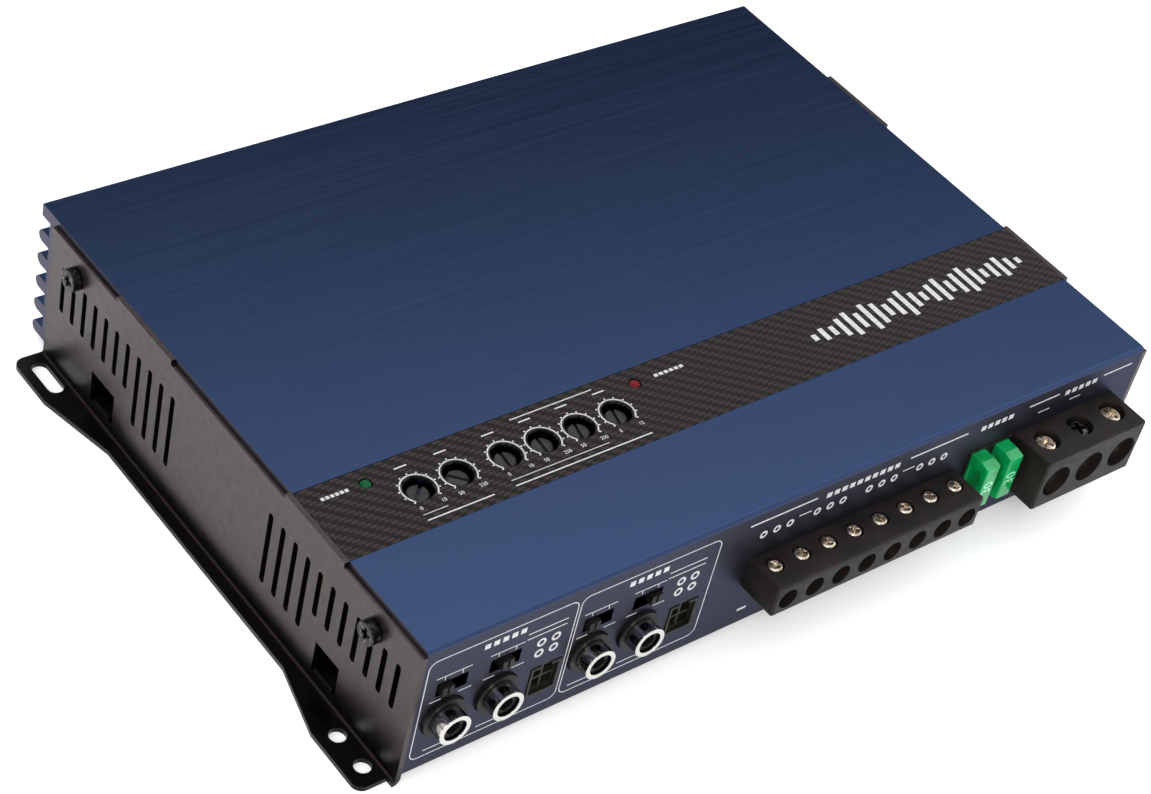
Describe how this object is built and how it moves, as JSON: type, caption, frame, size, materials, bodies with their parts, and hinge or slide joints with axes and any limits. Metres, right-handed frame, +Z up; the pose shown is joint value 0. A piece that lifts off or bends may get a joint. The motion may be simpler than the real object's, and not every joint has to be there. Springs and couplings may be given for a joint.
{
  "type": "car amplifier",
  "caption": "Flat car audio amplifier with a finned blue extrusion, black vented end panels with feet, signal inputs, screw terminals, blade fuses and trim controls.",
  "frame": {"origin": "bottom centre of the overall box, in the plane that the feet stand on", "axes": "+Z up, -Y out of the connector face, +X from the signal inputs towards the power terminals"},
  "size_m": [0.2718, 0.195, 0.0474],
  "materials": {
    "anodised_blue": "brushed and anodised dark blue",
    "black_steel": "satin black powder coat",
    "black_screw": "black oxide",
    "carbon_strip": "dark carbon weave under lacquer",
    "circuit_board": "green solder mask",
    "brass_posts": "turned",
    "black_plastic": "moulded black",
    "green_lens": "tinted clear",
    "red_lens": "tinted clear",
    "nickel": "bright nickel plate",
    "tinned_pins": "tinned",
    "terminal_plastic": "glass-filled black",
    "zinc_screw": "zinc plate",
    "copper_winding": "enamelled copper wire",
    "capacitor_sleeve": "black sleeve",
    "chip_package": "moulded epoxy",
    "clamp_aluminium": "milled",
    "shaft_plastic": "moulded dark grey",
    "slider_plastic": "moulded black",
    "terminal_screw": "nickel plate",
    "dark_terminal_screw": "black oxide",
    "fuse_plastic": "translucent green"
  },
  "bodies": {
    "chassis": {"heatsink": "anodised_blue", "base_plate": "black_steel", "end_panel_left": "black_steel", "end_panel_right": "black_steel", "end_panel_screws": "black_screw", "base_screws": "black_screw", "control_strip": "carbon_strip", "control_board": "circuit_board", "control_pillars": "brass_posts", "pot_bodies": "black_plastic", "power_led": "green_lens", "protection_led": "red_lens", "input_board": "circuit_board", "rca_housings": "black_plastic", "rca_shells": "nickel", "rca_contacts": "nickel", "switch_housings": "black_plastic", "level_sockets": "black_plastic", "level_socket_pins": "tinned_pins", "speaker_terminal_block": "terminal_plastic", "speaker_terminal_clamps": "nickel", "power_terminal_block": "terminal_plastic", "power_terminal_clamps": "nickel", "fuse_holder": "black_plastic", "main_board": "circuit_board", "board_standoffs": "brass_posts", "board_screws": "zinc_screw", "power_transformer": "copper_winding", "filter_chokes": "copper_winding", "input_capacitors": "capacitor_sleeve", "rail_capacitors": "capacitor_sleeve", "control_chips": "chip_package", "power_transistors": "chip_package", "transistor_clamps": "clamp_aluminium", "clamp_screws": "zinc_screw"},
    "front_gain_control": {"front_gain_shaft": "shaft_plastic"},
    "front_filter_control": {"front_filter_shaft": "shaft_plastic"},
    "rear_gain_control": {"rear_gain_shaft": "shaft_plastic"},
    "rear_filter_control": {"rear_filter_shaft": "shaft_plastic"},
    "low_pass_control": {"low_pass_shaft": "shaft_plastic"},
    "bass_boost_control": {"bass_boost_shaft": "shaft_plastic"},
    "front_input_switch": {"front_input_slider": "slider_plastic"},
    "front_crossover_switch": {"front_crossover_slider": "slider_plastic"},
    "rear_input_switch": {"rear_input_slider": "slider_plastic"},
    "rear_crossover_switch": {"rear_crossover_slider": "slider_plastic"},
    "speaker_screw_1_body": {"speaker_screw_1": "terminal_screw"},
    "speaker_screw_2_body": {"speaker_screw_2": "terminal_screw"},
    "speaker_screw_3_body": {"speaker_screw_3": "terminal_screw"},
    "speaker_screw_4_body": {"speaker_screw_4": "terminal_screw"},
    "speaker_screw_5_body": {"speaker_screw_5": "terminal_screw"},
    "speaker_screw_6_body": {"speaker_screw_6": "terminal_screw"},
    "speaker_screw_7_body": {"speaker_screw_7": "terminal_screw"},
    "speaker_screw_8_body": {"speaker_screw_8": "terminal_screw"},
    "power_screw_1_body": {"power_screw_1": "terminal_screw"},
    "power_screw_2_body": {"power_screw_2": "dark_terminal_screw"},
    "power_screw_3_body": {"power_screw_3": "terminal_screw"},
    "fuse_1_body": {"fuse_1": "fuse_plastic"},
    "fuse_2_body": {"fuse_2": "fuse_plastic"}
  },
  "joints": [
    {"name": "front_gain_turn", "type": "hinge", "parent": "chassis", "child": "front_gain_control", "pos_m": [-0.0958, -0.0375, 0.045], "axis": [0, 0, 1], "range_deg": [-270, 0]},
    {"name": "front_filter_turn", "type": "hinge", "parent": "chassis", "child": "front_filter_control", "pos_m": [-0.0837, -0.0375, 0.045], "axis": [0, 0, 1], "range_deg": [0, 270]},
    {"name": "rear_gain_turn", "type": "hinge", "parent": "chassis", "child": "rear_gain_control", "pos_m": [-0.0688, -0.0375, 0.045], "axis": [0, 0, 1], "range_deg": [-129, 141]},
    {"name": "rear_filter_turn", "type": "hinge", "parent": "chassis", "child": "rear_filter_control", "pos_m": [-0.057, -0.0375, 0.045], "axis": [0, 0, 1], "range_deg": [-128, 142]},
    {"name": "low_pass_turn", "type": "hinge", "parent": "chassis", "child": "low_pass_control", "pos_m": [-0.0451, -0.0375, 0.045], "axis": [0, 0, 1], "range_deg": [-120, 150]},
    {"name": "bass_boost_turn", "type": "hinge", "parent": "chassis", "child": "bass_boost_control", "pos_m": [-0.0327, -0.0375, 0.045], "axis": [0, 0, 1], "range_deg": [-120, 150]},
    {"name": "front_input_slide", "type": "slide", "parent": "chassis", "child": "front_input_switch", "axis": [1, 0, 0], "range_m": [0, 0.004]},
    {"name": "front_crossover_slide", "type": "slide", "parent": "chassis", "child": "front_crossover_switch", "axis": [1, 0, 0], "range_m": [-0.002, 0.002]},
    {"name": "rear_input_slide", "type": "slide", "parent": "chassis", "child": "rear_input_switch", "axis": [1, 0, 0], "range_m": [0, 0.004]},
    {"name": "rear_crossover_slide", "type": "slide", "parent": "chassis", "child": "rear_crossover_switch", "axis": [1, 0, 0], "range_m": [-0.004, 0]},
    {"name": "speaker_screw_1_travel", "type": "slide", "parent": "chassis", "child": "speaker_screw_1_body", "axis": [0, 0, 1], "range_m": [-0.0003, 0.0022]},
    {"name": "speaker_screw_2_travel", "type": "slide", "parent": "chassis", "child": "speaker_screw_2_body", "axis": [0, 0, 1], "range_m": [-0.0003, 0.0022]},
    {"name": "speaker_screw_3_travel", "type": "slide", "parent": "chassis", "child": "speaker_screw_3_body", "axis": [0, 0, 1], "range_m": [-0.0003, 0.0022]},
    {"name": "speaker_screw_4_travel", "type": "slide", "parent": "chassis", "child": "speaker_screw_4_body", "axis": [0, 0, 1], "range_m": [-0.0003, 0.0022]},
    {"name": "speaker_screw_5_travel", "type": "slide", "parent": "chassis", "child": "speaker_screw_5_body", "axis": [0, 0, 1], "range_m": [-0.0003, 0.0022]},
    {"name": "speaker_screw_6_travel", "type": "slide", "parent": "chassis", "child": "speaker_screw_6_body", "axis": [0, 0, 1], "range_m": [-0.0003, 0.0022]},
    {"name": "speaker_screw_7_travel", "type": "slide", "parent": "chassis", "child": "speaker_screw_7_body", "axis": [0, 0, 1], "range_m": [-0.0003, 0.0022]},
    {"name": "speaker_screw_8_travel", "type": "slide", "parent": "chassis", "child": "speaker_screw_8_body", "axis": [0, 0, 1], "range_m": [-0.0003, 0.0022]},
    {"name": "power_screw_1_travel", "type": "slide", "parent": "chassis", "child": "power_screw_1_body", "axis": [0, 0, 1], "range_m": [-0.0003, 0.003]},
    {"name": "power_screw_2_travel", "type": "slide", "parent": "chassis", "child": "power_screw_2_body", "axis": [0, 0, 1], "range_m": [-0.0003, 0.003]},
    {"name": "power_screw_3_travel", "type": "slide", "parent": "chassis", "child": "power_screw_3_body", "axis": [0, 0, 1], "range_m": [-0.0003, 0.003]},
    {"name": "fuse_1_pull", "type": "slide", "parent": "chassis", "child": "fuse_1_body", "axis": [0, -1, 0], "range_m": [0, 0.015]},
    {"name": "fuse_2_pull", "type": "slide", "parent": "chassis", "child": "fuse_2_body", "axis": [0, -1, 0], "range_m": [0, 0.015]}
  ]
}
